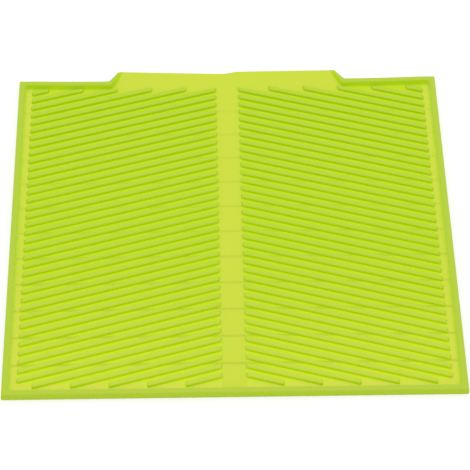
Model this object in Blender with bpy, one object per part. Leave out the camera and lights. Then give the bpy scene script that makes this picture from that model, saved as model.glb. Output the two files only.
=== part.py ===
"""Silicone dish drying mat that folds in half along its drain channel.

The real mat is one soft moulding: a shallow tray with a raised rim, a lip at the rear
that drains into the sink, long low ribs slanted towards a smooth centre channel, and
cross ribs under the sheet. It bends only where the channel carries no slanted ribs, so
the moulding is divided there into two ribbed halves and the web between them, and the
right half turns about the fold axis that stands just above the rims.

X runs across the mat, Y from the front edge to the drain lip, Z up. The origin is the
middle of the footprint, on the surface that the mat lies on. Units are metres.
"""

import math

import bmesh
import bpy
from mathutils import Matrix, Vector

# Tray and rim
MAT_WIDTH = 0.450
MAT_LENGTH = 0.400
RIM_HEIGHT = 0.008
RIM_WALL_DRAFT = 0.0004
RIM_EDGE_ROUND = 0.0009
RIM_TOP_WIDTH = 0.0042
RIM_INNER_DRAFT = 0.0006
RIM_FOOT_FILLET = 0.0005
TRAY_CORNER_RADIUS = 0.0030
FOOT_CORNER_RADIUS = 0.0012

# Sheet between the rims
SHEET_TOP = 0.0030
SHEET_THICKNESS = 0.0018

# Drain lip at the rear
LIP_DEPTH = 0.011
LIP_ROOT_WIDTH = 0.258
LIP_END_WIDTH = 0.235
LIP_MOUTH_ROOT_WIDTH = 0.248
LIP_MOUTH_END_WIDTH = 0.226
LIP_CORNER_RADIUS = 0.0020

# Centre channel and the fold
CHANNEL_WIDTH = 0.024
PART_GAP = 0.0003
FOLD_CLEARANCE = 0.0003

# Slanted drain ribs on the top
RIB_WIDTH = 0.0050
RIB_HEIGHT = 0.0025
RIB_PITCH = 0.01041
RIB_ANGLE = math.radians(15.70)
RIB_TOP_ROUND = 0.0017
RIB_TOP_CORNER_RADIUS = 0.0004
RIB_MIN_LENGTH = 0.010
RIB_CHANNEL_MARGIN = 0.0006
RIB_SIDE_MARGIN = 0.0140
RIB_FRONT_MARGIN = 0.0129
RIB_REAR_MARGIN = 0.0117
FIRST_RIB_OFFSET = 0.0098

# Cross ribs under the sheet
CROSS_RIB_WIDTH = 0.0020
CROSS_RIB_PITCH = 0.0320
CROSS_RIB_EDGE_MARGIN = 0.0200

# How far a cutter runs past what it cuts, and a rib into the sheet that carries it
OVERRUN = 0.0040
RIB_ROOT_DEPTH = 0.0008
CROSS_RIB_ROOT_DEPTH = 0.0006

# Facets along the rounded edges
CORNER_SEGMENTS = 3
EDGE_SEGMENTS = 2
RIB_CORNER_SEGMENTS = 2

SILICONE_LIME = (0.53, 0.69, 0.065, 1.0)
SILICONE_ROUGHNESS = 0.45

# Sizes that follow from the values above
HALF_WIDTH = MAT_WIDTH / 2
BODY_MIDDLE = -LIP_DEPTH / 2
FRONT_EDGE = BODY_MIDDLE - MAT_LENGTH / 2
REAR_EDGE = BODY_MIDDLE + MAT_LENGTH / 2
LIP_EDGE = REAR_EDGE + LIP_DEPTH
SHEET_BOTTOM = SHEET_TOP - SHEET_THICKNESS
RIM_TOP_INSET = RIM_WALL_DRAFT + RIM_EDGE_ROUND
POCKET_INSET = RIM_TOP_INSET + RIM_TOP_WIDTH
RIM_FOOT_INSET = POCKET_INSET + RIM_EDGE_ROUND + RIM_INNER_DRAFT + RIM_FOOT_FILLET
POCKET_CORNER_RADIUS = FOOT_CORNER_RADIUS + RIM_FOOT_INSET - POCKET_INSET
CHANNEL_EDGE = CHANNEL_WIDTH / 2
RIB_END_RADIUS = RIB_TOP_CORNER_RADIUS + RIB_TOP_ROUND
FOLD_AXIS_HEIGHT = RIM_HEIGHT + FOLD_CLEARANCE


def clear_scene():
    """Remove what a new Blender file starts with."""
    for obj in list(bpy.data.objects):
        bpy.data.objects.remove(obj, do_unlink=True)


def new_collection(name):
    """A collection under the scene's own."""
    collection = bpy.data.collections.new(name)
    bpy.context.scene.collection.children.link(collection)
    return collection


def link_mesh(bm, name, collection):
    """Turn a bmesh into an object with its faces pointing out."""
    bmesh.ops.recalc_face_normals(bm, faces=bm.faces)
    mesh = bpy.data.meshes.new(name)
    bm.to_mesh(mesh)
    bm.free()
    obj = bpy.data.objects.new(name, mesh)
    collection.objects.link(obj)
    return obj


def as_cutter(obj):
    """Mark an object that only cuts or joins others."""
    obj.hide_render = True
    obj.display_type = "WIRE"
    return obj


def round_over(start, radius, downwards=False):
    """Steps for raise_in_steps round a quarter circle that starts at one height.

    Upwards, it turns an upright wall over to a level top. Downwards, it turns the level
    face of a cutter into an upright one, which leaves a rounded edge on what it cuts.
    """
    steps = []
    inset_before = 0
    for step in range(1, EDGE_SEGMENTS + 1):
        angle = math.radians(90) * step / EDGE_SEGMENTS
        slow = radius * (1 - math.cos(angle))
        fast = radius * math.sin(angle)
        height, inset = (start - slow, fast) if downwards else (start + fast, slow)
        steps.append((height, inset - inset_before))
        inset_before = inset
    return steps


def rounded_face(bm, corners, radii, segments, height):
    """A flat face from corner points, each rounded in plan by its own radius."""
    points = []
    for index, corner in enumerate(corners):
        here = Vector(corner)
        to_previous = (Vector(corners[index - 1]) - here).normalized()
        to_next = (Vector(corners[(index + 1) % len(corners)]) - here).normalized()
        half_angle = to_previous.angle(to_next) / 2
        centre = here + (to_previous + to_next).normalized() * radii[index] / math.sin(half_angle)
        start = here + to_previous * radii[index] / math.tan(half_angle) - centre
        sweep = to_previous.angle_signed(-to_next)
        for step in range(segments + 1):
            points.append(centre + Matrix.Rotation(-sweep * step / segments, 2) @ start)
    verts = [bm.verts.new((point.x, point.y, height)) for point in points]
    return bm.faces.new(verts)


def raise_in_steps(bm, base, steps):
    """Extrude a flat face through (height, inset) steps, each inset from the one before."""
    face = base
    for height, inset in steps:
        grown = bmesh.ops.extrude_face_region(bm, geom=[face])
        if face is not base:
            bmesh.ops.delete(bm, geom=[face], context="FACES_ONLY")
        face = [item for item in grown["geom"] if isinstance(item, bmesh.types.BMFace)][0]
        for vert in face.verts:
            vert.co.z = height
        if inset:
            shrink_face(face, inset)
    return face


def shrink_face(face, inset):
    """Move every edge of a flat face inwards by the same distance."""
    ring = [vert.co.copy() for vert in face.verts]
    normal = Vector((0, 0, 1)) if face_area_sign(ring) > 0 else Vector((0, 0, -1))
    for index, vert in enumerate(face.verts):
        before = (ring[index] - ring[index - 1]).normalized()
        after = (ring[(index + 1) % len(ring)] - ring[index]).normalized()
        inward_before = normal.cross(before)
        inward_after = normal.cross(after)
        mitre = (inward_before + inward_after).normalized()
        vert.co += mitre * inset / mitre.dot(inward_after)


def face_area_sign(ring):
    """Positive where the ring of points runs anticlockwise seen from above."""
    total = 0
    for index, point in enumerate(ring):
        following = ring[(index + 1) % len(ring)]
        total += point.x * following.y - following.x * point.y
    return total


def box(name, low, high, collection):
    """A box between two corners, as a cutter."""
    bm = bmesh.new()
    bmesh.ops.create_cube(bm, size=1)
    size = Vector(high) - Vector(low)
    middle = (Vector(high) + Vector(low)) / 2
    bmesh.ops.scale(bm, vec=size, verts=bm.verts)
    bmesh.ops.translate(bm, vec=middle, verts=bm.verts)
    return as_cutter(link_mesh(bm, name, collection))


def moulding_block(name, collection):
    """The whole outline as one solid, with drafted walls and a rounded top edge."""
    corners = [
        (-HALF_WIDTH, FRONT_EDGE),
        (HALF_WIDTH, FRONT_EDGE),
        (HALF_WIDTH, REAR_EDGE),
        (LIP_ROOT_WIDTH / 2, REAR_EDGE),
        (LIP_END_WIDTH / 2, LIP_EDGE),
        (-LIP_END_WIDTH / 2, LIP_EDGE),
        (-LIP_ROOT_WIDTH / 2, REAR_EDGE),
        (-HALF_WIDTH, REAR_EDGE),
    ]
    radii = [TRAY_CORNER_RADIUS] * 3 + [LIP_CORNER_RADIUS] * 4 + [TRAY_CORNER_RADIUS]
    bm = bmesh.new()
    base = rounded_face(bm, corners, radii, CORNER_SEGMENTS, 0)
    wall_top = RIM_HEIGHT - RIM_EDGE_ROUND
    raise_in_steps(bm, base, [(wall_top, RIM_WALL_DRAFT)] + round_over(wall_top, RIM_EDGE_ROUND))
    return link_mesh(bm, name, collection)


def pocket_corners(inset):
    """The tray's inner outline: the rim inset all round, and open past the lip's edge."""
    spread = RIM_FOOT_INSET - inset
    root_x = LIP_MOUTH_ROOT_WIDTH / 2 + spread
    slope = (LIP_MOUTH_END_WIDTH - LIP_MOUTH_ROOT_WIDTH) / 2 / (LIP_DEPTH + inset)
    end_x = root_x + slope * (LIP_DEPTH + inset + OVERRUN)
    return [
        (-HALF_WIDTH + inset, FRONT_EDGE + inset),
        (HALF_WIDTH - inset, FRONT_EDGE + inset),
        (HALF_WIDTH - inset, REAR_EDGE - inset),
        (root_x, REAR_EDGE - inset),
        (end_x, LIP_EDGE + OVERRUN),
        (-end_x, LIP_EDGE + OVERRUN),
        (-root_x, REAR_EDGE - inset),
        (-HALF_WIDTH + inset, REAR_EDGE - inset),
    ]


def tray_pocket(collection):
    """Cutter for the hollow above the sheet, narrowing down to the foot of the rim."""
    bm = bmesh.new()
    corners = pocket_corners(POCKET_INSET)
    radii = [POCKET_CORNER_RADIUS] * len(corners)
    face = rounded_face(bm, corners, radii, EDGE_SEGMENTS, RIM_HEIGHT + OVERRUN)
    steps = [(RIM_HEIGHT, 0)] + round_over(RIM_HEIGHT, RIM_EDGE_ROUND, downwards=True)
    steps.append((SHEET_TOP + RIM_FOOT_FILLET, RIM_INNER_DRAFT))
    steps.append((SHEET_TOP, RIM_FOOT_FILLET))
    raise_in_steps(bm, face, steps)
    return as_cutter(link_mesh(bm, "tray_pocket", collection))


def underside_recess(collection):
    """Cutter that lifts the sheet off the surface inside the rim's foot."""
    bm = bmesh.new()
    corners = pocket_corners(RIM_FOOT_INSET)
    radii = [FOOT_CORNER_RADIUS] * len(corners)
    face = rounded_face(bm, corners, radii, EDGE_SEGMENTS, -OVERRUN)
    raise_in_steps(bm, face, [(SHEET_BOTTOM, 0)])
    return as_cutter(link_mesh(bm, "underside_recess", collection))


def rib_centre_lines():
    """Both ends of each slanted rib of one half, as distance from the centre line and Y.

    Every rib falls towards the front as it leaves the channel. It stops at the channel,
    at the side border, or where it meets the bare strip along the front or the rear.
    """
    inner = CHANNEL_EDGE + RIB_CHANNEL_MARGIN
    outer = HALF_WIDTH - RIB_SIDE_MARGIN
    front = FRONT_EDGE + RIB_FRONT_MARGIN
    rear = REAR_EDGE - RIB_REAR_MARGIN
    slope = math.tan(RIB_ANGLE)
    lines = []
    at_channel = front + FIRST_RIB_OFFSET
    while at_channel - slope * (outer - inner) < rear:
        start = max(inner, inner + (at_channel - rear) / slope)
        end = min(outer, inner + (at_channel - front) / slope)
        if end - start > RIB_MIN_LENGTH:
            start_y = at_channel - slope * (start - inner)
            end_y = at_channel - slope * (end - inner)
            lines.append((start, start_y, end, end_y))
        at_channel += RIB_PITCH
    return lines


def drain_ribs(name, side, collection):
    """All slanted ribs of one half, each a bar with a rounded top, rooted in the sheet."""
    half_span = RIB_WIDTH / math.cos(RIB_ANGLE) / 2
    root = SHEET_TOP - RIB_ROOT_DEPTH
    wall_top = SHEET_TOP + RIB_HEIGHT - RIB_TOP_ROUND
    bm = bmesh.new()
    for start, start_y, end, end_y in rib_centre_lines():
        corners = [
            (side * start, start_y - half_span),
            (side * end, end_y - half_span),
            (side * end, end_y + half_span),
            (side * start, start_y + half_span),
        ]
        radii = [RIB_END_RADIUS] * len(corners)
        face = rounded_face(bm, corners, radii, RIB_CORNER_SEGMENTS, root)
        raise_in_steps(bm, face, [(wall_top, 0)] + round_over(wall_top, RIB_TOP_ROUND))
    return as_cutter(link_mesh(bm, name, collection))


def cross_ribs(collection):
    """Straight bars across the whole underside, from rim to rim."""
    length = MAT_WIDTH - RIM_FOOT_INSET
    rise = SHEET_BOTTOM + CROSS_RIB_ROOT_DEPTH
    count = int((MAT_LENGTH / 2 - CROSS_RIB_EDGE_MARGIN) / CROSS_RIB_PITCH)
    bm = bmesh.new()
    for index in range(-count, count + 1):
        bar = bmesh.ops.create_cube(bm, size=1)["verts"]
        bmesh.ops.scale(bm, vec=(length, CROSS_RIB_WIDTH, rise), verts=bar)
        bmesh.ops.translate(bm, vec=(0, BODY_MIDDLE + index * CROSS_RIB_PITCH, rise / 2), verts=bar)
    return as_cutter(link_mesh(bm, "cross_ribs", collection))


def add_boolean(obj, operation, other):
    """A live Boolean against one other object."""
    modifier = obj.modifiers.new(other.name, "BOOLEAN")
    modifier.operation = operation
    modifier.object = other
    modifier.solver = "EXACT"


def silicone(name):
    """Soft moulded silicone, the same lime green all through."""
    material = bpy.data.materials.new(name)
    material.use_nodes = True
    shader = material.node_tree.nodes["Principled BSDF"]
    shader.inputs["Base Color"].default_value = SILICONE_LIME
    shader.inputs["Roughness"].default_value = SILICONE_ROUGHNESS
    shader.inputs["Metallic"].default_value = 0
    return material


def zone(name, low_x, high_x, collection):
    """The slice of the moulding that one node keeps."""
    low = (low_x, FRONT_EDGE - OVERRUN, -OVERRUN)
    high = (high_x, LIP_EDGE + OVERRUN, RIM_HEIGHT + OVERRUN)
    return box(name, low, high, collection)


def moulded_piece(name, keep, cuts, joins, collection):
    """One stretch of the moulding: its tray, its ribs and its share of the rim."""
    piece = moulding_block(name, collection)
    for cutter in cuts:
        add_boolean(piece, "DIFFERENCE", cutter)
    for rib_group in joins:
        add_boolean(piece, "UNION", rib_group)
    add_boolean(piece, "INTERSECT", keep)
    piece.data.materials.append(silicone(name + "_silicone"))
    return piece


def fold_axis(collection):
    """The empty on which the right half turns."""
    axis = bpy.data.objects.new("fold_axis", None)
    axis.location = (0, 0, FOLD_AXIS_HEIGHT)
    collection.objects.link(axis)
    return axis


def build():
    """Make the three nodes of the mat."""
    clear_scene()
    mat = new_collection("dish_drying_mat")
    cutters = new_collection("cutters")
    cuts = [tray_pocket(cutters), underside_recess(cutters)]
    bars = cross_ribs(cutters)
    seam_low = CHANNEL_EDGE - PART_GAP / 2
    seam_high = CHANNEL_EDGE + PART_GAP / 2
    far = HALF_WIDTH + OVERRUN
    left_zone = zone("left_zone", -far, -seam_high, cutters)
    right_zone = zone("right_zone", seam_high, far, cutters)
    channel_zone = zone("channel_zone", -seam_low, seam_low, cutters)
    left_joins = [drain_ribs("drain_ribs_left", -1, cutters), bars]
    right_joins = [drain_ribs("drain_ribs_right", 1, cutters), bars]
    moulded_piece("left_panel", left_zone, cuts, left_joins, mat)
    right = moulded_piece("right_panel", right_zone, cuts, right_joins, mat)
    moulded_piece("channel_web", channel_zone, cuts, [bars], mat)
    axis = fold_axis(mat)
    right.parent = axis
    right.matrix_parent_inverse = Matrix.Translation(-axis.location)


build()
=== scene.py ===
"""Silicone dish drying mat: the seamless moulding that is seen, made over its packed frame.

The frame holds the mat as two ribbed halves and the channel web between them, joined by a
fold. What is seen is one soft piece, so one mesh of the whole mat stands for all three nodes.
It is a tray with a rounded rim and a drain lip, slanted drain ribs
on its sheet and straight cross ribs under it.

X runs across the mat, Y from the front edge to the drain lip, Z up. Units are metres.
"""

import math
from contextlib import contextmanager

import bmesh
import bpy
from bpy.props import FloatProperty, FloatVectorProperty, IntProperty, PointerProperty
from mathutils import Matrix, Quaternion, Vector


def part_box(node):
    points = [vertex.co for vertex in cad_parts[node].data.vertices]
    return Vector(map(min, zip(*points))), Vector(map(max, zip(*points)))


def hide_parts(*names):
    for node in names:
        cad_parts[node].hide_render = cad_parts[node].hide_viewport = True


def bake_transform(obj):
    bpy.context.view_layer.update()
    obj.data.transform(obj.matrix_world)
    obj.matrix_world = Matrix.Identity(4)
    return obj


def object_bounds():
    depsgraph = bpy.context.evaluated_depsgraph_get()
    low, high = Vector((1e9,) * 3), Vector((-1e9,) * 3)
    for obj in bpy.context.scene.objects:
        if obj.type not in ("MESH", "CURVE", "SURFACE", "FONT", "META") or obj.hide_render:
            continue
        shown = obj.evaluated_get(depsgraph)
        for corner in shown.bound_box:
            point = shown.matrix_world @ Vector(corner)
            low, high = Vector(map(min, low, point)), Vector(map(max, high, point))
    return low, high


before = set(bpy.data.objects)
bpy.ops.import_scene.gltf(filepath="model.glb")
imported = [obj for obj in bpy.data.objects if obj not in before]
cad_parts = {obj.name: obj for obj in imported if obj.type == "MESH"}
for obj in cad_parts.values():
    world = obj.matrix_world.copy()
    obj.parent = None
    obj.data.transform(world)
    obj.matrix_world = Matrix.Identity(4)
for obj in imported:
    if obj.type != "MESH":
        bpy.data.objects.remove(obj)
CAD_LOW, CAD_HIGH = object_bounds()
WEB_LOW, WEB_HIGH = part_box("channel_web")

bl_info = {
    "name": "Silicone dish drying mat",
    "version": (1, 0, 0),
    "blender": (4, 5, 0),
    "location": "3D View > Sidebar > Drying mat",
    "description": "Models a folding silicone drying mat and the light around it",
    "category": "Add Mesh",
}

MAT_NAME = "drying_mat"
PLACE_ATTRIBUTE = "moulded_place"

# Two places closer than this are the same one
NEAR = 0.00002
# Corners of a mesh closer than this are merged after a Boolean
MERGE = 0.000002
# How far a cutter runs past what it cuts
OVERRUN = 0.004
# Over what length one colour runs into the next
BLEND = 0.0012
# The sheet in front of the rear rim's foot that takes up the rim's bow
BOW_RAMP = 0.0025
# The sheet inside the lip's rims over which that bow dies away
BOW_EASE = 0.012
# Where the rear rim's bow ends, as a share of the mat's half width
BOW_END = 0.93

# How deep the ribs are rooted, as shares of the sheet's thickness
CROSS_ROOT_SHARE = 1 / 3
RIB_ROOT_SHARE = 1 / 2
FLARE_ROOT_SHARE = 1 / 10
# The slope in degrees at which a drain rib's foot leaves the sheet
FLARE_START = 20.0

# Faces along the roundings: corners in plan, the rim's edges, ribs' crowns, fillets, base edges
CORNER_STEPS = 6
SMALL_CORNER_STEPS = 4
EDGE_STEPS = 5
CROWN_STEPS = 6
FILLET_STEPS = 3
BASE_STEPS = 2

RIGHT_ANGLE = math.radians(90)
X_AXIS = Vector((1, 0, 0))
Y_AXIS = Vector((0, 1, 0))
# Faces that meet at less than this are shaded smooth
SMOOTH_ANGLE = math.radians(32)
# An outline that turns by less than this is straight
STRAIGHT = math.radians(1)

# Where colours change, as shares of a drain rib's height, its foot flare and the rim's fillet
RAISED_SHARE = 0.3
FLARE_SHARE = 1 / 6
FILLET_SHARE = 1 / 3
# How much of its crown's colour a drain rib keeps down its ends
END_CROWN_SHARE = 0.6
# A cross rib's line fades between these distances, as shares of the rib's width
LINE_CORE_SHARE = 0.4
LINE_EDGE_SHARE = 1.1

# The moulded surface: its fine grain, and faint clouds where it is a little duller
GRAIN = {"Scale": 900.0, "Detail": 3.0}
GRAIN_BUMP = {"Strength": 0.25, "Distance": 0.00004}
CLOUDS = {"Scale": 28.0, "Detail": 2.0}
CLOUD_RANGE = (0.3, 0.7)
CLOUD_ROUGHNESS = 0.04

# The floor: its side, how far it lies below the mat, its tone and its own light
FLOOR_SIZE = 12.0
FLOOR_GAP = 0.00005
FLOOR_TONE = (0.50, 0.50, 0.50, 1.0)
FLOOR_GLOW = 0.55
WHITE = (1.0, 1.0, 1.0, 1.0)
# Width of the camera's sensor, in mm
SENSOR = 36.0


class TraySizes(bpy.types.PropertyGroup):
    """The sheet, the rim round it and the drain lip."""

    length: FloatProperty(
        name="Tray length", description="From the front edge to the rear rim", default=0.400, unit="LENGTH"
    )
    wall_draft: FloatProperty(
        name="Wall draft", description="How far the outer wall leans in", default=0.0008, unit="LENGTH"
    )
    edge_round: FloatProperty(
        name="Rim rounding", description="Along both edges of its top", default=0.0009, unit="LENGTH"
    )
    rim_top: FloatProperty(
        name="Rim top", description="Width of its flat stretch", default=0.0038, unit="LENGTH"
    )
    inner_draft: FloatProperty(
        name="Inner draft", description="How far the rim's inner wall leans", default=0.0006, unit="LENGTH"
    )
    foot_fillet: FloatProperty(
        name="Foot fillet", description="Radius where the rim meets the sheet", default=0.0015, unit="LENGTH"
    )
    base_round: FloatProperty(
        name="Base rounding", description="Of the edges on the worktop", default=0.0003, unit="LENGTH"
    )
    corner: FloatProperty(
        name="Corner radius", description="Outer corners of the tray in plan", default=0.0020, unit="LENGTH"
    )
    foot_corner: FloatProperty(
        name="Foot corner radius", description="Inner corners at the rim's foot",
        default=0.0012, unit="LENGTH",
    )
    sheet_top: FloatProperty(
        name="Sheet height", description="Top of the sheet above the worktop", default=0.0030, unit="LENGTH"
    )
    sheet: FloatProperty(
        name="Sheet thickness", description="Thickness between the ribs", default=0.0018, unit="LENGTH"
    )
    lip_root: FloatProperty(
        name="Lip root", description="Outer width where it leaves the tray", default=0.2552, unit="LENGTH"
    )
    lip_end: FloatProperty(
        name="Lip end", description="Outer width at its edge", default=0.235, unit="LENGTH"
    )
    mouth_root: FloatProperty(
        name="Mouth root", description="Between the lip's rims at the rear rim",
        default=0.2432, unit="LENGTH",
    )
    mouth_end: FloatProperty(
        name="Mouth end", description="Between the lip's rims at its edge", default=0.224, unit="LENGTH"
    )
    lip_corner: FloatProperty(
        name="Lip corner radius", description="Corners of the lip in plan", default=0.0020, unit="LENGTH"
    )
    lip_round: FloatProperty(
        name="Lip edge rounding", description="Of the sheet's edge there", default=0.0005, unit="LENGTH"
    )


class RibSizes(bpy.types.PropertyGroup):
    """The slanted drain ribs on the sheet and the cross ribs under it."""

    width: FloatProperty(
        name="Rib width", description="Across one drain rib", default=0.0053, unit="LENGTH"
    )
    height: FloatProperty(name="Rib height", description="Above the sheet", default=0.0025, unit="LENGTH")
    pitch: FloatProperty(
        name="Rib pitch", description="From rib to rib along the channel", default=0.01041, unit="LENGTH"
    )
    angle: FloatProperty(
        name="Rib angle", description="Slant against the rear rim",
        default=math.radians(15.70), unit="ROTATION",
    )
    top_round: FloatProperty(
        name="Top rounding", description="Height of a rib's rounded top", default=0.0017, unit="LENGTH"
    )
    crown: FloatProperty(
        name="Crown", description="Width of the rounding at each side", default=0.0019, unit="LENGTH"
    )
    end_round: FloatProperty(
        name="End rounding", description="Of a rib's ends in plan", default=0.0011, unit="LENGTH"
    )
    end_share: FloatProperty(
        name="End steepness", description="Share of the crown that its ends get", default=1.0
    )
    foot_flare: FloatProperty(
        name="Foot flare", description="Radius where a rib meets the sheet", default=0.0009, unit="LENGTH"
    )
    flare_spread: FloatProperty(
        name="Flare spread", description="Width of that flare for its height", default=1.9
    )
    wall_draft: FloatProperty(
        name="Rib draft", description="How far a rib's walls lean", default=0.0002, unit="LENGTH"
    )
    channel_margin: FloatProperty(
        name="Channel margin", description="Channel web to the ribs' ends", default=0.0003, unit="LENGTH"
    )
    channel_skew: FloatProperty(
        name="Channel skew", description="How far left it lies", default=0.00075, unit="LENGTH"
    )
    side_margin: FloatProperty(
        name="Side margin", description="Bare border along the sides", default=0.0150, unit="LENGTH"
    )
    front_margin: FloatProperty(
        name="Front margin", description="Front edge to the ribs' lower ends", default=0.01305, unit="LENGTH"
    )
    rear_margin: FloatProperty(
        name="Rear margin", description="Rear edge to the ribs' upper ends", default=0.01155, unit="LENGTH"
    )
    first_offset: FloatProperty(
        name="First rib", description="Front margin to its end at the channel",
        default=0.00981, unit="LENGTH",
    )
    shortest: FloatProperty(
        name="Shortest rib", description="A rib shorter than this is left out", default=0.010, unit="LENGTH"
    )
    cross_width: FloatProperty(
        name="Cross rib width", description="Across one rib under the sheet", default=0.0020, unit="LENGTH"
    )
    cross_pitch: FloatProperty(
        name="Cross rib pitch", description="From one cross rib to the next", default=0.0320, unit="LENGTH"
    )
    cross_count: IntProperty(
        name="Cross ribs", description="How many cross ribs lie under the sheet", default=11, min=1
    )


class SoftShape(bpy.types.PropertyGroup):
    """How the soft sheet lies at the lip, and the faces across the web where it bends."""

    lip_reach: FloatProperty(
        name="Warped length", description="In from the lip's edge", default=0.0235, unit="LENGTH"
    )
    lip_rise: FloatProperty(
        name="Lip rise", description="Of its edge beside its rims", default=0.0045, unit="LENGTH"
    )
    pour_x: FloatProperty(
        name="Pouring place", description="Where the lip's edge is lowest", default=-0.006, unit="LENGTH"
    )
    pour_step: FloatProperty(
        name="Pouring step", description="Steep rise right of the lowest place",
        default=0.0033, unit="LENGTH",
    )
    pour_width: FloatProperty(
        name="Step width", description="Width of the steep rise", default=0.020, unit="LENGTH"
    )
    rear_bow: FloatProperty(
        name="Rear bow", description="How far the rear rim bows in", default=0.0014, unit="LENGTH"
    )
    rear_skew: FloatProperty(
        name="Rear skew", description="Forward at the left, back at the right", default=0.0009, unit="LENGTH"
    )
    lip_shift: FloatProperty(
        name="Lip shift", description="How far left of the middle it lies", default=0.0010, unit="LENGTH"
    )
    bow_columns: IntProperty(
        name="Rear rim columns", description="Of faces beside the lip", default=14, min=2
    )
    lip_steps: IntProperty(name="Lip rows", description="Of faces from front to rear", default=10, min=2)
    lip_columns: IntProperty(
        name="Lip columns", description="Of faces at each side of the web", default=48, min=2
    )
    web_steps: IntProperty(
        name="Web strips", description="Of faces across the bending web", default=24, min=2
    )
    bend_reach: FloatProperty(
        name="Bend reach", description="Centre line to where it stays flat", default=0.010, unit="LENGTH"
    )


class SiliconeLook(bpy.types.PropertyGroup):
    """Colours and finish of the moulded silicone, with the painted shade and light on it."""

    thin_colour: FloatVectorProperty(
        name="Sheet", description="Where the silicone is thin and light comes through it",
        subtype="COLOR", size=4, default=(0.627, 0.749, 0.058, 1.0),
    )
    thick_colour: FloatVectorProperty(
        name="Ribs", description="On the drain ribs' crowns",
        subtype="COLOR", size=4, default=(0.516, 0.679, 0.055, 1.0),
    )
    rim_colour: FloatVectorProperty(
        name="Rim", description="On the rim, where the silicone is thickest",
        subtype="COLOR", size=4, default=(0.482, 0.644, 0.060, 1.0),
    )
    # Painted shade: a rib's lower sides are painted deeper and greener, as light from above and behind
    # leaves them in shade
    flank_shade_colour: FloatVectorProperty(
        name="Rib flanks", description="On the drain ribs' sides",
        subtype="COLOR", size=4, default=(0.474, 0.713, 0.0, 1.0),
    )
    # Painted light and shade: the ribbed field is painted lighter towards the front and a little darker at
    # the rear, as the light falls on it
    front_light_tone: FloatVectorProperty(
        name="Front tone", description="Multiplies the ribbed field's colours", size=4,
        default=(1.12, 1.045, 1.35, 1.0),
    )
    rear_shade_tone: FloatVectorProperty(
        name="Rear tone", description="Multiplies the ribbed field's colours", size=4,
        default=(0.982, 0.992, 1.0, 1.0),
    )
    # Painted shade on the ribs' sides, deeper towards the rear as their shadow is there
    rear_flank_shade_colour: FloatVectorProperty(
        name="Rib flanks at the rear", description="On the ribs' sides far from the camera",
        subtype="COLOR", size=4, default=(0.430, 0.676, 0.0, 1.0),
    )
    # Painted bounce light: the camera-facing rear wall, in shade, is painted greener than the rim, as light
    # bounced off the lime sheet makes it
    rear_wall_bounce_colour: FloatVectorProperty(
        name="Rear wall", description="On the inner wall of the rear rim",
        subtype="COLOR", size=4, default=(0.522, 0.757, 0.008, 1.0),
    )
    # Painted light: the side rims' inner walls are painted lighter to lift the shade in the crease at their
    # foot
    side_wall_fill_light_colour: FloatVectorProperty(
        name="Side walls", description="On the inner walls of the side rims",
        subtype="COLOR", size=4, default=(0.585, 0.760, 0.060, 1.0),
    )
    # Painted light: the bare sheet along the rims is painted lighter to lift the shade the rims cast on it,
    # more so towards the rear
    border_fill_light_colour: FloatVectorProperty(
        name="Borders", description="On the bare sheet along the sides and the front",
        subtype="COLOR", size=4, default=(0.640, 0.752, 0.060, 1.0),
    )
    rear_border_fill_light_colour: FloatVectorProperty(
        name="Rear borders", description="On the bare sheet along the sides, at the rear",
        subtype="COLOR", size=4, default=(0.700, 0.790, 0.077, 1.0),
    )
    # Painted bounce light: the rim's outside is painted lighter and greener, standing in for light that the
    # white floor throws back onto it
    outer_wall_bounce_colour: FloatVectorProperty(
        name="Outer wall", description="On the rim's outside",
        subtype="COLOR", size=4, default=(0.587, 0.801, 0.041, 1.0),
    )
    # Painted bounce light: the sheet between the ribs is painted a brighter, greener lime, as light bounced
    # between the ribs makes it
    groove_bounce_colour: FloatVectorProperty(
        name="Grooves", description="On the sheet between the drain ribs",
        subtype="COLOR", size=4, default=(0.616, 0.796, 0.027, 1.0),
    )
    shade_colour: FloatVectorProperty(
        name="Cross rib lines", description="Where one shows through the sheet",
        subtype="COLOR", size=4, default=(0.317, 0.512, 0.040, 1.0),
    )
    cross_shade: FloatProperty(
        name="Cross rib shade", description="How much it darkens the sheet", default=0.34
    )
    cross_fade: FloatProperty(
        name="Cross rib fading", description="Share of it that is left at the rear", default=0.3
    )
    cross_shift: FloatProperty(
        name="Cross rib shift", description="How far forward it shows", default=0.0030, unit="LENGTH"
    )
    # Where the painted shade on a rib's sides ends and its crown's colour begins
    flank_low: FloatProperty(name="Flank's top", description="Share of a rib's height", default=0.60)
    flank_high: FloatProperty(name="Crown's foot", description="Share of a rib's height", default=1.0)
    roughness: FloatProperty(name="Roughness", description="Of the satin moulded surface", default=0.45)
    groove_roughness: FloatProperty(
        name="Groove roughness", description="Between the drain ribs", default=0.8
    )
    ior: FloatProperty(name="Refraction", description="Index of refraction of the surface", default=1.41)
    sheen: FloatProperty(name="Sheen", description="Strength of the reflection", default=0.06)


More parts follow.
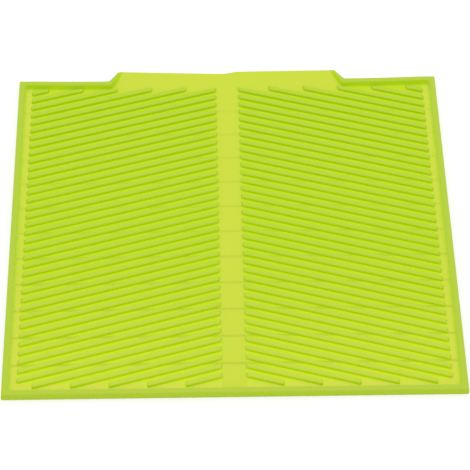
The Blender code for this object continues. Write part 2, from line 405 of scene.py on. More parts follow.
class StageLook(bpy.types.PropertyGroup):
    """Camera and light."""

    azimuth: FloatProperty(
        name="Camera turn", description="To the left of the mat's own axis",
        default=math.radians(1.954), unit="ROTATION",
    )
    elevation: FloatProperty(
        name="Camera height", description="Above the horizon", default=math.radians(53.237), unit="ROTATION"
    )
    roll: FloatProperty(
        name="Camera roll", description="About its own axis", default=math.radians(0.894), unit="ROTATION"
    )
    distance: FloatProperty(
        name="Camera distance", description="From the point it looks at", default=1.9548, unit="LENGTH"
    )
    target: FloatVectorProperty(
        name="Camera target", description="The point it looks at", size=3,
        default=(0.003687, -0.011324, 0.0), subtype="TRANSLATION",
    )
    lens: FloatProperty(name="Lens", description="Focal length on a 36 mm sensor, in mm", default=146.78)
    room_light: FloatProperty(
        name="Room light", description="Strength of the even light from all round", default=0.93
    )
    lamp_place: FloatVectorProperty(
        name="Lamp place", description="Centre of the soft light", size=3,
        default=(0.0, 0.9, 2.2), subtype="TRANSLATION",
    )
    lamp_size: FloatProperty(
        name="Lamp size", description="Side of the soft light", default=1.6, unit="LENGTH"
    )
    lamp_power: FloatProperty(
        name="Lamp power", description="Power of the soft light", default=4.8, unit="POWER"
    )


# Selecting and shaping in edit mode


def clear_selection():
    """Object mode with nothing selected."""
    if bpy.context.mode != "OBJECT":
        bpy.ops.object.mode_set(mode="OBJECT")
    bpy.ops.object.select_all(action="DESELECT")


def make_active(obj):
    """The only selected object, and the active one."""
    clear_selection()
    obj.select_set(True)
    bpy.context.view_layer.objects.active = obj


@contextmanager
def editing(obj):
    """Edit mode on one object, with nothing selected at first."""
    make_active(obj)
    bpy.ops.object.mode_set(mode="EDIT")
    bpy.ops.mesh.select_all(action="DESELECT")
    yield
    bpy.ops.object.mode_set(mode="OBJECT")


def pick(kind, test):
    """Select only the verts, edges or faces of the edited mesh whose points all pass a test."""
    bpy.ops.mesh.select_mode(type={"verts": "VERT", "edges": "EDGE", "faces": "FACE"}[kind])
    bpy.ops.mesh.select_all(action="DESELECT")
    edited = bpy.context.edit_object.data
    mesh = bmesh.from_edit_mesh(edited)
    found = 0
    for item in getattr(mesh, kind):
        points = [item.co] if kind == "verts" else [vert.co for vert in item.verts]
        if all(test(point) for point in points):
            item.select_set(True)
            found += 1
    mesh.select_flush_mode()
    bmesh.update_edit_mesh(edited)
    if not found:
        raise RuntimeError(f"no {kind} of {bpy.context.edit_object.name} are where they are looked for")


def everywhere(point):
    """The test that every point passes."""
    return True


def cut(test, axis, distances):
    """Cut the faces that pass a test square to an axis, at each of some distances along it."""
    for distance in distances:
        pick("faces", test)
        bpy.ops.mesh.bisect(plane_co=axis * distance, plane_no=axis)


def level_face(height):
    """Select the faces that lie level at one height."""
    pick("faces", lambda point: abs(point.z - height) < NEAR)


def arc_steps(radius, segments, first=0.0):
    """(inset, rise) of the chords along an arc that starts level and ends upright."""
    upright = 90.0
    angles = [math.radians(first + (upright - first) * step / segments) for step in range(segments + 1)]
    steps = []
    for before, after in zip(angles, angles[1:]):
        run = radius * (math.sin(after) - math.sin(before))
        rise = radius * (math.cos(before) - math.cos(after))
        steps.append((run, rise))
    return steps


def rounding_over(radius, segments):
    """(inset, rise) of the chords along an arc that starts upright and ends level."""
    return [(rise, run) for run, rise in arc_steps(radius, segments)]


def carry_face(steps):
    """Carry the selected face along its normal through (inset, rise) steps."""
    for inset, rise in steps:
        bpy.ops.mesh.inset(thickness=inset, depth=rise, use_boundary=True, use_even_offset=True)


def thicken(rise):
    """Turn the flat face being edited into a closed slab, with its far face selected."""
    mesh = bmesh.from_edit_mesh(bpy.context.edit_object.data)
    far = next(iter(mesh.verts)).co.z + rise
    bpy.ops.mesh.select_all(action="SELECT")
    bpy.ops.mesh.extrude_region_move(TRANSFORM_OT_translate={"value": (0, 0, rise)})
    bpy.ops.mesh.select_all(action="SELECT")
    bpy.ops.mesh.normals_make_consistent(inside=False)
    level_face(far)


def named_primitive(name):
    """Name the primitive that was just added, and put its place into its mesh."""
    obj = bpy.context.active_object
    obj.name = name
    obj.data.name = name
    make_active(obj)
    bpy.ops.object.transform_apply(location=True, rotation=True, scale=True)
    return obj


def combine(obj, other, operation):
    """Apply an exact Boolean with another object, remove that object and merge doubled corners."""
    modifier = obj.modifiers.new(other.name, "BOOLEAN")
    modifier.operation = operation
    modifier.object = other
    modifier.solver = "EXACT"
    make_active(obj)
    bpy.ops.object.modifier_apply(modifier=modifier.name)
    bpy.data.objects.remove(other, do_unlink=True)
    with editing(obj):
        bpy.ops.mesh.select_all(action="SELECT")
        bpy.ops.mesh.remove_doubles(threshold=MERGE)


# Places that follow from the sizes


class Places:
    """Where the mat's edges lie, from the frame's box and the tray's sizes."""

    def __init__(self, tray):
        self.half_width = CAD_HIGH.x
        self.front = CAD_LOW.y
        self.lip_edge = CAD_HIGH.y
        self.rim_top = CAD_HIGH.z
        self.rear = self.front + tray.length
        self.middle = (self.front + self.rear) / 2
        self.sheet_bottom = tray.sheet_top - tray.sheet
        self.pocket_inset = tray.wall_draft + tray.edge_round + tray.rim_top
        self.foot_inset = self.pocket_inset + tray.edge_round + tray.inner_draft + tray.foot_fillet


def plan_face(name, height, side, front, rear, root, lip_edge, lip_half):
    """A flat face in plan: the tray's rectangle with the drain lip's trapezium behind it."""
    clear_selection()
    bpy.ops.mesh.primitive_plane_add(size=1, location=(0, (front + rear) / 2, height))
    obj = named_primitive(name)
    with editing(obj):
        bpy.ops.mesh.select_all(action="SELECT")
        bpy.ops.transform.resize(value=(2 * side, rear - front, 1))
        cut(everywhere, X_AXIS, [-root, root])
        pick("edges", lambda point: point.y > rear - NEAR and abs(point.x) < root + NEAR)
        bpy.ops.mesh.extrude_region_move(TRANSFORM_OT_translate={"value": (0, lip_edge - rear, 0)})
        bpy.ops.transform.resize(value=(lip_half / root, 1, 1))
        bpy.ops.mesh.select_all(action="SELECT")
        bpy.ops.mesh.dissolve_limited(angle_limit=STRAIGHT)
    return obj


def round_corners(test, radius, turn, segments):
    """Round the corners in plan that pass a test, where the outline turns by an angle."""
    pick("verts", test)
    reach = radius * math.tan(turn / 2)
    bpy.ops.mesh.bevel(offset=reach, offset_type="OFFSET", segments=segments, profile=0.5, affect="VERTICES")


class DRYINGMAT_OT_tray(bpy.types.Operator):
    """Model the tray: sheet, rim and drain lip"""

    bl_idname = "drying_mat.tray"
    bl_label = "Tray and rim"

    def execute(self, context):
        tray = context.scene.mat_tray
        places = Places(tray)
        mat = moulding_block(tray, places)
        combine(mat, tray_pocket(tray, places), "DIFFERENCE")
        combine(mat, underside_recess(tray, places), "DIFFERENCE")
        round_lip_edge(mat, tray, places)
        return {"FINISHED"}


def lip_turn(root, end, depth):
    """How far the outline turns at the lip's corners in plan."""
    return RIGHT_ANGLE - math.atan2(root - end, depth)


def moulding_block(tray, places):
    """The whole outline as one solid with drafted walls and rounded edges."""
    root, end = tray.lip_root / 2, tray.lip_end / 2
    base = tray.base_round
    side, rear = places.half_width, places.rear
    obj = plan_face(MAT_NAME, base, side, places.front, rear, root, places.lip_edge, end)
    turn = lip_turn(root, end, places.lip_edge - rear)
    with editing(obj):
        round_corners(lambda p: abs(p.x) > side - NEAR, tray.corner, RIGHT_ANGLE, CORNER_STEPS)
        round_corners(
            lambda p: abs(p.x) < root + NEAR and p.y > rear - NEAR,
            tray.lip_corner, turn, SMALL_CORNER_STEPS,
        )
        thicken(base)
        carry_face([(tray.wall_draft, places.rim_top - tray.edge_round - 2 * base)])
        carry_face(rounding_over(tray.edge_round, EDGE_STEPS))
        level_face(base)
        carry_face(rounding_over(base, BASE_STEPS))
    return obj


def face_inside_rim(name, height, inset, root, tray, places, corner, side_steps, lip_steps):
    """A flat face with rounded corners, inset from the tray's edges and open over the lip."""
    side, rear = places.half_width - inset, places.rear - inset
    slope = (tray.mouth_end - tray.mouth_root) / 2 / (places.lip_edge - rear)
    end_y = places.lip_edge + OVERRUN
    end = root + slope * (end_y - rear)
    obj = plan_face(name, height, side, places.front + inset, rear, root, end_y, end)
    turn = lip_turn(root, end, end_y - rear)
    with editing(obj):
        round_corners(lambda p: abs(p.x) > side - NEAR, corner, RIGHT_ANGLE, side_steps)
        round_corners(
            lambda p: abs(p.x) < root + NEAR and abs(p.y - rear) < NEAR, corner, turn, lip_steps
        )
    return obj


def tray_pocket(tray, places):
    """Cutter for the hollow above the sheet, narrowing down to the foot of the rim."""
    spread = places.foot_inset - places.pocket_inset
    obj = face_inside_rim(
        "tray_pocket", places.rim_top + OVERRUN, places.pocket_inset, tray.mouth_root / 2 + spread,
        tray, places, tray.foot_corner + spread, CORNER_STEPS, SMALL_CORNER_STEPS,
    )
    wall = places.rim_top - tray.edge_round - tray.sheet_top - tray.foot_fillet
    with editing(obj):
        thicken(-OVERRUN)
        carry_face(arc_steps(tray.edge_round, EDGE_STEPS))
        carry_face([(tray.inner_draft, wall)])
        carry_face(rounding_over(tray.foot_fillet, FILLET_STEPS))
        carry_face([(tray.foot_corner / 2, 0)])
    return obj


def underside_recess(tray, places):
    """Cutter that lifts the sheet off the worktop inside the rim's foot."""
    obj = face_inside_rim(
        "underside_recess", -OVERRUN, places.foot_inset, tray.mouth_root / 2,
        tray, places, tray.foot_corner, SMALL_CORNER_STEPS, FILLET_STEPS,
    )
    with editing(obj):
        thicken(OVERRUN + places.sheet_bottom - tray.base_round)
        carry_face(rounding_over(tray.base_round, BASE_STEPS))
    return obj


def round_lip_edge(mat, tray, places):
    """Round the two edges of the sheet where the lip ends."""
    reach = tray.mouth_end / 2
    for height in (tray.sheet_top, places.sheet_bottom):
        with editing(mat):
            pick(
                "edges",
                lambda p: p.y > places.lip_edge - 2 * tray.wall_draft
                and abs(p.x) < reach + NEAR
                and abs(p.z - height) < NEAR,
            )
            bpy.ops.mesh.bevel(
                offset=tray.lip_round, segments=FILLET_STEPS, profile=0.5, affect="EDGES"
            )


class DRYINGMAT_OT_cross_ribs(bpy.types.Operator):
    """Model the straight ribs under the sheet and join them to the tray"""

    bl_idname = "drying_mat.cross_ribs"
    bl_label = "Cross ribs"

    def execute(self, context):
        tray, ribs = context.scene.mat_tray, context.scene.mat_ribs
        places = Places(tray)
        bar = model_cross_rib(tray, ribs, places)
        first = places.middle - (ribs.cross_count - 1) / 2 * ribs.cross_pitch
        bars = []
        for number in range(ribs.cross_count):
            middle = Vector((0, first + number * ribs.cross_pitch, 0))
            bars.append(placed_copy(bar, f"cross_rib_{number}", lambda point: point + middle))
        bpy.data.objects.remove(bar, do_unlink=True)
        combine(bpy.data.objects[MAT_NAME], joined(bars, "cross_ribs"), "UNION")
        return {"FINISHED"}


def model_cross_rib(tray, ribs, places):
    """One bar across the mat at the origin, rounded where it lies on the worktop."""
    rise = places.sheet_bottom + tray.sheet * CROSS_ROOT_SHARE
    clear_selection()
    bpy.ops.mesh.primitive_cube_add(size=1, location=(0, 0, rise / 2))
    obj = named_primitive("cross_rib")
    length = 2 * places.half_width - places.foot_inset
    with editing(obj):
        bpy.ops.mesh.select_all(action="SELECT")
        bpy.ops.transform.resize(value=(length, ribs.cross_width, rise), center_override=(0, 0, rise / 2))
        for side in (-1, 1):
            pick("edges", lambda p: p.z < NEAR and p.y * side > 0)
            bpy.ops.mesh.bevel(offset=tray.base_round, segments=BASE_STEPS, profile=0.5, affect="EDGES")
    return obj


def placed_copy(model, name, move):
    """A copy of a modelled piece with a mesh of its own, its points moved by a function."""
    piece = model.copy()
    piece.data = model.data.copy()
    piece.name = name
    bpy.context.scene.collection.objects.link(piece)
    for vert in piece.data.vertices:
        vert.co = move(vert.co)
    return piece


def joined(pieces, name):
    """Several pieces as one object."""
    clear_selection()
    for piece in pieces:
        piece.select_set(True)
    bpy.context.view_layer.objects.active = pieces[0]
    bpy.ops.object.join()
    whole = bpy.context.active_object
    whole.name = name
    return whole


class DRYINGMAT_OT_divide(bpy.types.Operator):
    """Divide the web where it bends and the lip where it is warped"""

    bl_idname = "drying_mat.divide"
    bl_label = "Divide the soft places"

    def execute(self, context):
        tray, shape = context.scene.mat_tray, context.scene.mat_shape
        places = Places(tray)
        root = tray.lip_root / 2
        soft_y = places.lip_edge - shape.lip_reach
        row = shape.lip_reach / shape.lip_steps
        strip = (WEB_HIGH.x - WEB_LOW.x) / shape.web_steps
        column = (root - WEB_HIGH.x) / shape.lip_columns
        bow_column = (places.half_width - tray.corner - root) / shape.bow_columns

        def at_rear(point):
            return point.y > soft_y - NEAR

        def on_lip(point):
            return at_rear(point) and abs(point.x) < root + NEAR

        with editing(bpy.data.objects[MAT_NAME]):
            cut(everywhere, X_AXIS, [WEB_LOW.x + strip * step for step in range(shape.web_steps + 1)])
            cut(everywhere, Y_AXIS, [soft_y])
            cut(at_rear, X_AXIS, [-root, root])
            cut(on_lip, Y_AXIS, [soft_y + row * step for step in range(1, shape.lip_steps)])
            for side in (-1, 1):
                columns = [WEB_HIGH.x + column * step for step in range(1, shape.lip_columns)]
                cut(on_lip, X_AXIS, [side * x for x in columns])
                columns = [root + bow_column * step for step in range(1, shape.bow_columns + 1)]
                cut(
                    lambda point: at_rear(point) and point.x * side > root - NEAR,
                    X_AXIS, [side * x for x in columns],
                )
        return {"FINISHED"}


class DRYINGMAT_OT_drain_ribs(bpy.types.Operator):
    """Model the slanted drain ribs and join them to the tray"""

    bl_idname = "drying_mat.drain_ribs"
    bl_label = "Drain ribs"

    def execute(self, context):
        tray, ribs = context.scene.mat_tray, context.scene.mat_ribs
        places = Places(tray)
        model = model_drain_rib(tray, ribs)
        pieces = []
        for side in (-1, 1):
            for start, end, middle_y in rib_spans(ribs, places, side):
                name = f"drain_rib_{len(pieces)}"
                pieces.append(placed_copy(model, name, rib_place(ribs, side, start, end, middle_y)))
        bpy.data.objects.remove(model, do_unlink=True)
        combine(bpy.data.objects[MAT_NAME], joined(pieces, "drain_ribs"), "UNION")
        return {"FINISHED"}


def model_drain_rib(tray, ribs):
    """One upright bar at the origin with a flared foot, rounded ends and a rounded top."""
    flare = arc_steps(ribs.foot_flare, FILLET_STEPS, first=FLARE_START)
    flare = [(inset * ribs.flare_spread, rise) for inset, rise in flare]
    spread = sum(inset for inset, rise in flare) + ribs.wall_draft
    half_length = ribs.shortest / 2
    half_width = ribs.width / math.cos(ribs.angle) / 2
    sunk = tray.sheet * FLARE_ROOT_SHARE
    root = tray.sheet * RIB_ROOT_SHARE
    wall = ribs.height + sunk - ribs.top_round - sum(rise for inset, rise in flare)
    obj = plan_rectangle("drain_rib", tray.sheet_top - root, half_length + spread, half_width + spread)
    with editing(obj):
        round_corners(everywhere, ribs.end_round + spread, RIGHT_ANGLE, SMALL_CORNER_STEPS)
        thicken(root - sunk)
        carry_face(flare)
        carry_face([(ribs.wall_draft, wall)])
        oval = ribs.crown / ribs.top_round
        steps = [(inset * oval, rise) for inset, rise in rounding_over(ribs.top_round, CROWN_STEPS)]
        narrow_face(steps, half_length, half_width, ribs.end_share)
    return obj


def narrow_face(steps, half_length, half_width, end_share):
    """Carry a level face up through (inset, rise) steps, its ends by a share of each inset."""
    for inset, rise in steps:
        bpy.ops.mesh.extrude_region_move(TRANSFORM_OT_translate={"value": (0, 0, rise)})
        longer, wider = half_length, half_width
        half_length -= inset * end_share
        half_width -= inset
        bpy.ops.transform.resize(
            value=(half_length / longer, half_width / wider, 1), center_override=(0, 0, 0)
        )


def plan_rectangle(name, height, half_length, half_width):
    """A flat rectangle about the origin."""
    clear_selection()
    bpy.ops.mesh.primitive_plane_add(size=2, location=(0, 0, height))
    obj = named_primitive(name)
    with editing(obj):
        bpy.ops.mesh.select_all(action="SELECT")
        bpy.ops.transform.resize(value=(half_length, half_width, 1))
    return obj


def rib_spans(ribs, places, side):
    """The ribs of one half: both ends as distances from the centre line, and the middle's Y.

    Every rib falls towards the front as it leaves the channel. It stops at the channel, at
    the side border, or where it meets the bare strip along the front or the rear.
    """
    inner = WEB_HIGH.x + ribs.channel_margin
    outer = places.half_width - ribs.side_margin
    front = places.front + ribs.front_margin
    rear = places.rear - ribs.rear_margin
    slope = math.tan(ribs.angle)
    spans = []
    at_channel = front + ribs.first_offset
    while at_channel - slope * (outer - inner) < rear:
        start = max(inner - side * ribs.channel_skew, inner + (at_channel - rear) / slope)
        end = min(outer, inner + (at_channel - front) / slope)
        if end - start > ribs.shortest:
            spans.append((start, end, at_channel - slope * ((start + end) / 2 - inner)))
        at_channel += ribs.pitch
    return spans


def rib_place(ribs, side, start, end, middle_y):
    """How the model rib's points move to make one rib: stretched, slanted and put in place."""
    stretch = (end - start - ribs.shortest) / 2
    middle = Vector((side * (start + end) / 2, middle_y, 0))
    slope = -side * math.tan(ribs.angle)

    def move(point):
        x = point.x + math.copysign(stretch, point.x)
        return middle + Vector((x, point.y + slope * x, point.z))

    return move


class DRYINGMAT_OT_lip_shape(bpy.types.Operator):
    """Warp the drain lip, which rises to its rims and dips where it pours"""

    bl_idname = "drying_mat.lip_shape"
    bl_label = "Lip shape"

    def execute(self, context):
        tray, shape = context.scene.mat_tray, context.scene.mat_shape
        places = Places(tray)
        mesh = bpy.data.objects[MAT_NAME].data
        place = mesh.attributes.new(PLACE_ATTRIBUTE, "FLOAT_VECTOR", "POINT")
        for index, vert in enumerate(mesh.vertices):
            place.data[index].vector = vert.co
        for vert in mesh.vertices:
            lift = lip_lift(vert.co, tray, shape, places)
            vert.co += rear_shift(vert.co, tray, shape, places)
            vert.co.z += lift
        mesh.update()
        return {"FINISHED"}


def smooth_step(value):
    """0 below 0 and 1 above 1, with a smooth rise between them."""
    share = min(1.0, max(0.0, value))
    return share * share * (3 - 2 * share)


def lip_lift(point, tray, shape, places):
    """How far a point of the lip's sheet, or of the wall that it meets, is raised."""
    along = (point.y - places.lip_edge + shape.lip_reach) / shape.lip_reach
    if along <= 0 or point.z < places.sheet_bottom - NEAR:
        return 0.0
    foot_y = places.rear - places.foot_inset
    slope = (tray.mouth_end - tray.mouth_root) / 2 / (places.lip_edge - foot_y)
    wall = tray.mouth_root / 2 + slope * (point.y - foot_y) + places.foot_inset - places.pocket_inset
    if abs(point.x) > wall + NEAR:
        return 0.0
    half = tray.mouth_end / 2
    if point.x < shape.pour_x:
        height = shape.lip_rise * (shape.pour_x - point.x) / (half + shape.pour_x)
    else:
        beyond = point.x - shape.pour_x
        height = shape.pour_step * smooth_step(beyond / shape.pour_width)
        height += (shape.lip_rise - shape.pour_step) * beyond / (half - shape.pour_x)
    height = min(height, shape.lip_rise)
    share = min(1.0, (places.rim_top - point.z) / (places.rim_top - tray.sheet_top))
    return height * share * along * along


def rear_shift(point, tray, shape, places):
    """How far a point of the rear rim or the lip lies from its place on a straight rim."""
    foot_y = places.rear - places.foot_inset
    beside = abs(point.x)
    lip_half = tray.lip_root / 2
    share = smooth_step((point.y - foot_y + BOW_RAMP) / BOW_RAMP)
    aside = share * smooth_step((places.half_width - beside) / (places.half_width - lip_half))
    share *= 1 - smooth_step((point.y - places.rear) / (places.lip_edge - places.rear))
    share *= smooth_step((beside - tray.mouth_end / 2 + BOW_EASE) / BOW_EASE)
    start = lip_half / places.half_width
    bend = min(1.0, max(0.0, beside / places.half_width - start) / (BOW_END - start))
    bow = shape.rear_bow * (1 - bend * bend)
    skew = shape.rear_skew * point.x / places.half_width
    return Vector((-shape.lip_shift * aside, -share * (bow - skew), 0))


# Materials


class Shade:
    """A shader socket on which numbers and other sockets can be reckoned with."""

    def __init__(self, nodes, socket):
        self.nodes = nodes
        self.socket = socket

    def _math(self, operation, *values):
        return self.nodes.make("ShaderNodeMath", {"operation": operation}, values)

    def __add__(self, other):
        return self._math("ADD", self, other)

    def __sub__(self, other):
        return self._math("SUBTRACT", self, other)

    def __mul__(self, other):
        return self._math("MULTIPLY", self, other)

    def __truediv__(self, other):
        return self._math("DIVIDE", self, other)

    __radd__ = __add__
    __rmul__ = __mul__

    def __rsub__(self, other):
        return self._math("SUBTRACT", other, self)

    def __rtruediv__(self, other):
        return self._math("DIVIDE", other, self)

    def away_from(self, other):
        """How far it lies from a value, whichever side it is on."""
        return self._math("ABSOLUTE", self - other)

    def most(self, other):
        return self._math("MAXIMUM", self, other)

    def between(self, low, high, start=0.0, end=1.0):
        """A smooth change from a start value to an end value while it goes from low to high."""
        values = {"Value": self, "From Min": low, "From Max": high, "To Min": start, "To Max": end}
        return self.nodes.make("ShaderNodeMapRange", {"interpolation_type": "SMOOTHSTEP"}, values)

    def fade(self, low, high):
        """1 up to low, and a smooth fall to 0 at high."""
        return self.between(low, high, 1.0, 0.0)


class ShaderNodes:
    """The node tree of one material or world."""

    def __init__(self, owner):
        owner.use_nodes = True
        self.tree = owner.node_tree
        self.tree.nodes.clear()

    def make(self, kind, settings=None, values=None, output=0):
        """Add a node, set it up, give its sockets values or links, and return its outputs."""
        node = self.tree.nodes.new(kind)
        for name, value in (settings or {}).items():
            setattr(node, name, value)
        pairs = values.items() if isinstance(values, dict) else enumerate(values or [])
        for key, value in pairs:
            if isinstance(value, Shade):
                self.tree.links.new(value.socket, node.inputs[key])
            else:
                node.inputs[key].default_value = value
        if isinstance(output, tuple):
            return [Shade(self, node.outputs[name]) for name in output]
        return Shade(self, node.outputs[output]) if node.outputs else node

    def mix_colour(self, share, first, second):
        """A colour between two colours."""
        values = {0: share, 6: first, 7: second}
        return self.make("ShaderNodeMix", {"data_type": "RGBA"}, values, output=2)


class MouldedColour:
    """The silicone's colour, with its painted shade and light, by a point's place on the mat before it is
    warped or folded.
    """

    def __init__(self, nodes, look, tray, ribs, places):
        self.nodes, self.mix, self.look = nodes, nodes.mix_colour, look
        self.tray, self.ribs, self.places = tray, ribs, places
        self.place = nodes.make("ShaderNodeAttribute", {"attribute_name": PLACE_ATTRIBUTE}, output=1)
        across, along, height = nodes.make(
            "ShaderNodeSeparateXYZ", None, [self.place], output=("X", "Y", "Z")
        )
        self.along, self.height = along, height
        self.beside = across.away_from(0)
        self.from_channel = (across + ribs.channel_skew).away_from(0)
        self.from_side = places.half_width - self.beside
        self.from_rear = places.rear - along
        self.rearward = along.between(places.middle, places.rear)
        self.inner = WEB_HIGH.x + ribs.channel_margin
        self.outer = places.half_width - ribs.side_margin
        self.rib_front = places.front + ribs.front_margin
        self.on_top = height.between(places.sheet_bottom + NEAR, tray.sheet_top - NEAR)
        self.raised = height.between(tray.sheet_top, tray.sheet_top + ribs.height * RAISED_SHARE)
        self.below_rim_top = height.fade(places.rim_top - tray.edge_round, places.rim_top)
        before_lip = self.from_rear.between(ribs.rear_margin, ribs.rear_margin + ribs.width)
        mouth = tray.mouth_root / 2
        before_lip = before_lip.most(self.beside.between(mouth - BLEND, mouth))
        self.ribbed = self.from_channel.between(self.inner - NEAR, self.inner) * before_lip * self.on_top
        groove = self.beside.fade(self.outer, self.outer + NEAR) * self.ribbed
        groove = groove * along.between(self.rib_front, self.rib_front + ribs.width)
        self.groove = groove * (1 - self.raised)

    def sheet(self):
        """The sheet: painted light on its bare borders beside the rims, and painted bounce light making the
        grooves between the ribs greener.
        """
        look = self.look
        border = self.beside.between(self.outer - BLEND, self.outer)
        border = border.most(self.along.fade(self.rib_front - BLEND, self.rib_front)) * self.on_top
        # Painted light on the bare borders, stronger towards the rear
        to_rear = self.along.between(self.places.front, self.places.rear)
        bare = self.mix(to_rear, look.border_fill_light_colour, look.rear_border_fill_light_colour)
        colour = self.mix(border, look.thin_colour, bare)
        # Painted bounce light in the grooves
        return self.mix(self.groove, colour, look.groove_bounce_colour)

    def rib(self):
        """A drain rib: one colour on its crown and its ends, and painted shade on its flanks, deeper towards
        the rear.
        """
        look, ribs, foot = self.look, self.ribs, self.tray.sheet_top
        half = ribs.width / 2
        low, high = foot + ribs.height * look.flank_low, foot + ribs.height * look.flank_high
        crown = self.height.between(low, high)
        rear = ribs.rear_margin + half
        crown = crown.most(self.from_rear.between(rear, rear + half, END_CROWN_SHARE, 0.0))
        start, end = self.inner + ribs.end_round, self.inner + half
        crown = crown.most(self.from_channel.between(start, end, END_CROWN_SHARE, 0.0))
        start, end = self.outer - half, self.outer - ribs.end_round
        crown = crown.most(self.beside.between(start, end, 0.0, END_CROWN_SHARE))
        # Painted shade on the flanks, deeper towards the rear
        flanks = self.mix(self.rearward, look.flank_shade_colour, look.rear_flank_shade_colour)
        return self.mix(crown, flanks, look.thick_colour)

    def field(self):
        """The sheet and the drain ribs on it, with painted light making the ribbed field lighter at the
        front and painted shade a little darker at the rear.
        """
        look, places, foot = self.look, self.places, self.tray.sheet_top
        on_rib = self.height.between(foot + NEAR, foot + self.ribs.foot_flare * FLARE_SHARE)
        colour = self.mix(on_rib, self.sheet(), self.rib())
        # Painted light towards the front and painted shade at the rear
        to_middle = self.along.between(places.front, places.middle)
        tone = self.mix(to_middle, look.front_light_tone, WHITE)
        tone = self.mix(self.rearward, tone, look.rear_shade_tone)
        toned = self.nodes.make("ShaderNodeVectorMath", {"operation": "MULTIPLY"}, [colour, tone])
        return self.mix(self.ribbed, colour, toned)

    def rim_over(self, colour):
        """The rim's top, and painted bounce light on its outside, over another colour."""
        look, tray, places = self.look, self.tray, self.places
        foot, middle = places.foot_inset, places.pocket_inset / 2
        rim = self.height.between(tray.sheet_top + self.ribs.height, places.rim_top - tray.edge_round)
        rim = rim.most(self.from_side.fade(foot, foot + NEAR) * self.raised)
        rim = rim.most(self.from_rear.fade(foot, foot + NEAR) * self.raised)
        colour = self.mix(rim, colour, look.rim_colour)
        # Painted bounce light from the floor on the rim's outside
        outside = self.from_side.fade(middle, middle + NEAR)
        outside = outside.most((self.along - places.front).fade(middle, middle + NEAR))
        outside = outside * self.height.fade(places.rim_top - tray.edge_round - NEAR, places.rim_top)
        return self.mix(outside, colour, look.outer_wall_bounce_colour)

    def walls_over(self, colour):
        """The rim's inner walls over another colour: painted green bounce light on the rear wall, and
        painted light that lifts the shade on the side walls.
        """
        look, tray, places = self.look, self.tray, self.places
        top, foot, low = places.pocket_inset, places.foot_inset, tray.sheet_top
        lip = tray.lip_root / 2
        # Painted green bounce light on the rear wall
        rear = self.from_rear.between(top - BLEND, top).most(self.beside.fade(lip - BLEND, lip))
        rear = rear * self.from_rear.fade(foot - BLEND, foot) * self.from_side.between(top, foot)
        rear = rear * self.height.between(low, low + tray.foot_fillet * FILLET_SHARE) * self.below_rim_top
        colour = self.mix(rear, colour, look.rear_wall_bounce_colour)
        # Painted light on the side walls, lifting the shade in the crease at their foot
        side = self.from_side.between(top - BLEND, top) * self.from_side.fade(foot, foot + BLEND)
        side = side * self.from_rear.between(top, foot)
        side = side * self.height.between(low - NEAR, low) * self.below_rim_top
        return self.mix(side, colour, look.side_wall_fill_light_colour)

    def lines_over(self, colour):
        """The faint lines that the cross ribs draw through the sheet, over another colour."""
        look, ribs, places = self.look, self.ribs, self.places
        along = self.along - (places.middle - look.cross_shift)
        half_pitch = ribs.cross_pitch / 2
        to_line = self.nodes.make("ShaderNodeMath", {"operation": "PINGPONG"}, [along, half_pitch])
        line = to_line.fade(ribs.cross_width * LINE_CORE_SHARE, ribs.cross_width * LINE_EDGE_SHARE)
        reach = ribs.cross_count * half_pitch
        line = line * along.away_from(0).fade(reach - NEAR, reach) * self.on_top * (1 - self.raised)
        rear_shade = look.cross_shade * look.cross_fade
        shade = line * self.along.between(places.front, places.rear, look.cross_shade, rear_shade)
        return self.mix(shade, colour, look.shade_colour)


def silicone(look, tray, ribs, places):
    """Satin moulded silicone, paler where it is thin and deeper where it is thick, with painted shade and
    light on its ribs, rims and sheet.
    """
    material = bpy.data.materials.new("lime_silicone")
    nodes = ShaderNodes(material)
    moulded = MouldedColour(nodes, look, tray, ribs, places)
    colour = moulded.walls_over(moulded.rim_over(moulded.field()))
    colour = moulded.lines_over(colour)
    grain = nodes.make("ShaderNodeTexNoise", None, {"Vector": moulded.place, **GRAIN})
    cloud = nodes.make("ShaderNodeTexNoise", None, {"Vector": moulded.place, **CLOUDS})
    smoother, duller = look.roughness - CLOUD_ROUGHNESS, look.roughness + CLOUD_ROUGHNESS
    roughness = cloud.between(*CLOUD_RANGE, smoother, duller)
    roughness = roughness + moulded.groove * (look.groove_roughness - look.roughness)
    bump = nodes.make("ShaderNodeBump", None, {"Height": grain, **GRAIN_BUMP})
    shader = nodes.make(
        "ShaderNodeBsdfPrincipled", None,
        {
            "Base Color": colour,
            "Roughness": roughness,
            "Normal": bump,
            "IOR": look.ior,
            "Specular IOR Level": look.sheen,
        },
    )
    nodes.make("ShaderNodeOutputMaterial", None, {"Surface": shader})
    return material


class DRYINGMAT_OT_dress(bpy.types.Operator):
    """Smooth the mat, give it its silicone and hide the frame's parts"""

    bl_idname = "drying_mat.dress"
    bl_label = "Finish and fold"

    def execute(self, context):
        scene = context.scene
        mat = bpy.data.objects[MAT_NAME]
        make_active(mat)
        bpy.ops.object.shade_smooth_by_angle(angle=SMOOTH_ANGLE)
        tray = scene.mat_tray
        mat.data.materials.clear()
        mat.data.materials.append(silicone(scene.mat_look, tray, scene.mat_ribs, Places(tray)))
        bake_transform(mat)
        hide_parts("left_panel", "channel_web", "right_panel")
        return {"FINISHED"}


class DRYINGMAT_OT_stage(bpy.types.Operator):
    """Lay the floor, light it softly and set the camera at the photographed angle"""

    bl_idname = "drying_mat.stage"
    bl_label = "Floor, light and camera"

    def execute(self, context):
        stage = context.scene.mat_stage
        clear_selection()
        lay_floor()
        light_room(context.scene, stage)
        set_camera(context.scene, stage)
        context.scene.view_settings.view_transform = "Standard"
        return {"FINISHED"}


def seen_directly(nodes):
    """1 for what the camera, a reflection or a clear body shows, and 0 for light on a surface."""
    rays = ("Is Camera Ray", "Is Glossy Ray", "Is Transmission Ray")
    camera, glossy, through = nodes.make("ShaderNodeLightPath", output=rays)
    return camera.most(glossy).most(through)


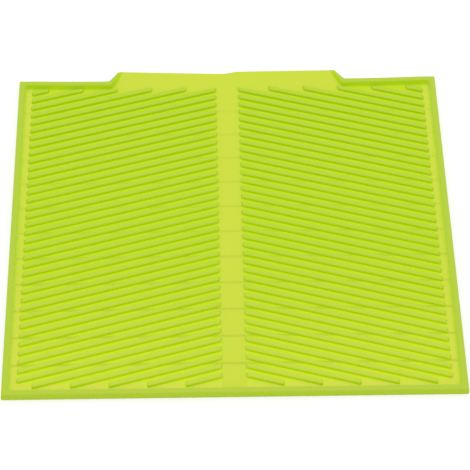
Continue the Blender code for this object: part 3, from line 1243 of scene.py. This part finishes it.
def lay_floor():
    """A wide white floor, open from below so that the underside can be looked at."""
    bpy.ops.mesh.primitive_plane_add(size=FLOOR_SIZE, location=(0, 0, -FLOOR_GAP))
    floor = named_primitive("floor")
    material = bpy.data.materials.new("white_floor")
    nodes = ShaderNodes(material)
    matt = nodes.make("ShaderNodeBsdfDiffuse", None, {"Color": FLOOR_TONE})
    glow = nodes.make("ShaderNodeEmission", None, {"Strength": seen_directly(nodes) * FLOOR_GLOW})
    lit = nodes.make("ShaderNodeAddShader", None, [matt, glow])
    clear = nodes.make("ShaderNodeBsdfTransparent")
    below = nodes.make("ShaderNodeNewGeometry", output=6)
    surface = nodes.make("ShaderNodeMixShader", None, [below, lit, clear])
    nodes.make("ShaderNodeOutputMaterial", None, {"Surface": surface})
    floor.data.materials.append(material)


def light_room(scene, stage):
    """An even white room with one broad soft light above and behind the mat."""
    world = bpy.data.worlds.new("white_room")
    scene.world = world
    nodes = ShaderNodes(world)
    direct = seen_directly(nodes)
    strength = direct * (1 - stage.room_light) + stage.room_light
    room = nodes.make("ShaderNodeBackground", None, {"Color": WHITE, "Strength": strength})
    nodes.make("ShaderNodeOutputWorld", None, {"Surface": room})
    bpy.ops.object.light_add(type="AREA", location=stage.lamp_place)
    lamp = bpy.context.active_object
    lamp.name = "overhead_light"
    lamp.rotation_euler = (-Vector(stage.lamp_place)).to_track_quat("-Z", "Y").to_euler()
    lamp.data.shape = "SQUARE"
    lamp.data.size = stage.lamp_size
    lamp.data.energy = stage.lamp_power


def set_camera(scene, stage):
    """The camera that sees the mat as the photograph does."""
    sight = Vector((
        math.sin(stage.azimuth) * math.cos(stage.elevation),
        math.cos(stage.azimuth) * math.cos(stage.elevation),
        -math.sin(stage.elevation),
    ))
    bpy.ops.object.camera_add(location=Vector(stage.target) - sight * stage.distance)
    camera = bpy.context.active_object
    camera.name = "photo_camera"
    turn = sight.to_track_quat("-Z", "Y") @ Quaternion((0, 0, 1), stage.roll)
    camera.rotation_euler = turn.to_euler()
    camera.data.sensor_width = SENSOR
    camera.data.lens = stage.lens
    scene.camera = camera


class DRYINGMAT_PT_panel(bpy.types.Panel):
    """What makes the mat, in order, with its sizes and colours"""

    bl_label = "Silicone drying mat"
    bl_space_type = "VIEW_3D"
    bl_region_type = "UI"
    bl_category = "Drying mat"

    def draw(self, context):
        for operator in OPERATORS:
            self.layout.operator(operator.bl_idname)
        for name, group in GROUPS.items():
            box = self.layout.box()
            box.label(text=group.__doc__)
            for field in group.__annotations__:
                box.prop(getattr(context.scene, name), field)


GROUPS = {
    "mat_tray": TraySizes,
    "mat_ribs": RibSizes,
    "mat_shape": SoftShape,
    "mat_look": SiliconeLook,
    "mat_stage": StageLook,
}
OPERATORS = (
    DRYINGMAT_OT_tray,
    DRYINGMAT_OT_cross_ribs,
    DRYINGMAT_OT_divide,
    DRYINGMAT_OT_drain_ribs,
    DRYINGMAT_OT_lip_shape,
    DRYINGMAT_OT_dress,
    DRYINGMAT_OT_stage,
)


def register():
    for cls in (*GROUPS.values(), *OPERATORS, DRYINGMAT_PT_panel):
        bpy.utils.register_class(cls)
    for name, group in GROUPS.items():
        setattr(bpy.types.Scene, name, PointerProperty(type=group))


def unregister():
    for name in GROUPS:
        delattr(bpy.types.Scene, name)
    for cls in reversed((*GROUPS.values(), *OPERATORS, DRYINGMAT_PT_panel)):
        bpy.utils.unregister_class(cls)


def main():
    """Make the whole scene."""
    register()
    bpy.ops.drying_mat.tray()
    bpy.ops.drying_mat.cross_ribs()
    bpy.ops.drying_mat.divide()
    bpy.ops.drying_mat.drain_ribs()
    bpy.ops.drying_mat.lip_shape()
    bpy.ops.drying_mat.dress()
    bpy.ops.drying_mat.stage()


if __name__ == "__main__":
    main()
